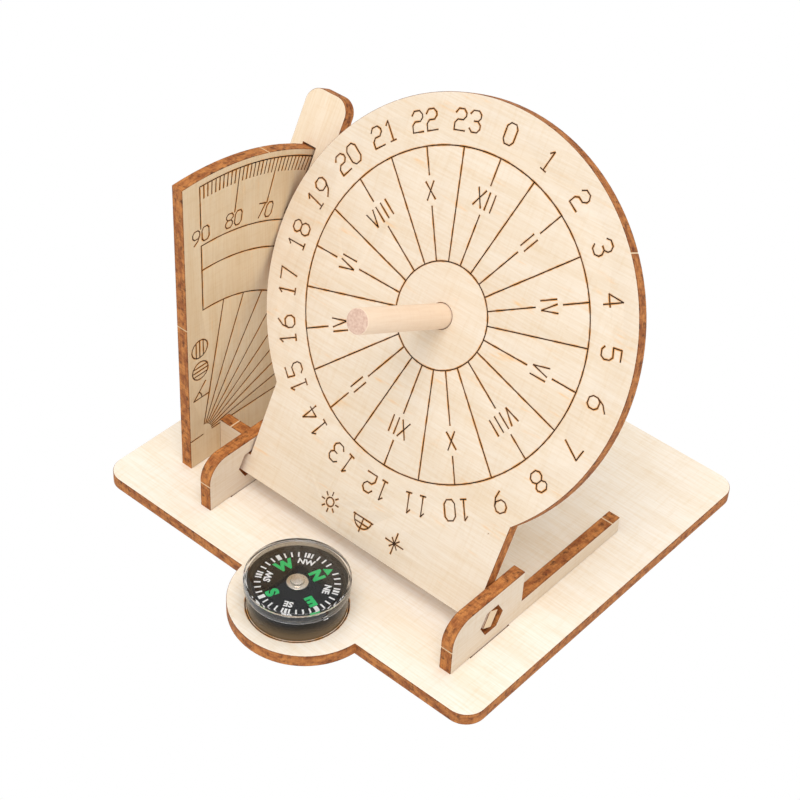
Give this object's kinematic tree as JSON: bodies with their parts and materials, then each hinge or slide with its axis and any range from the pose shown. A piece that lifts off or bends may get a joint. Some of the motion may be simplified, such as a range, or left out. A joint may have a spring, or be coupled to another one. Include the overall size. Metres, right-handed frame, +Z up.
{
  "type": "equatorial sundial",
  "caption": "Plywood equatorial sundial: a tilting hour dial with a dowel gnomon, a latitude board and a button compass on a base plate.",
  "frame": {"origin": "middle of the base plate's underside (the rectangle, without the compass tab)", "axes": "+Z up, +Y to the back of the base plate, +X to the right when facing the dial"},
  "size_m": [0.1, 0.1033, 0.0907],
  "materials": {
    "plywood": "raw pale plywood, laser-burnt brown on cut edges and engraving",
    "dowel": "raw turned dowel",
    "smoky_plastic": "smoky translucent plastic",
    "clear_cover": "clear polished plastic",
    "steel": "ground steel pin",
    "printed_card": "black card printed white and green",
    "bright_cap": "bright pressed metal",
    "magnet": "dark sintered magnet"
  },
  "bodies": {
    "stand": {"base_plate": "plywood", "left_bracket": "plywood", "right_bracket": "plywood", "latitude_board": "plywood", "cross_brace": "plywood", "compass_case": "smoky_plastic", "compass_cover": "clear_cover", "compass_needle": "steel"},
    "dial": {"dial_plate": "plywood", "setting_fork": "plywood"},
    "gnomon": {"gnomon_rod": "dowel"},
    "card": {"compass_card": "printed_card", "compass_hub": "bright_cap", "compass_magnet": "magnet"}
  },
  "joints": [
    {"name": "dial_tilt", "type": "hinge", "parent": "stand", "child": "dial", "pos_m": [0.006, -0.0265, 0.0088], "axis": [-1, 0, 0], "range_deg": [-27, 39]},
    {"name": "gnomon_slide", "type": "slide", "parent": "dial", "child": "gnomon", "axis": [0, -0.891, 0.454], "range_m": [-0.008, 0.008]},
    {"name": "card_spin", "type": "hinge", "parent": "stand", "child": "card", "pos_m": [0.006, -0.045, 0.0028], "axis": [0, 0, 1], "continuous": true}
  ]
}
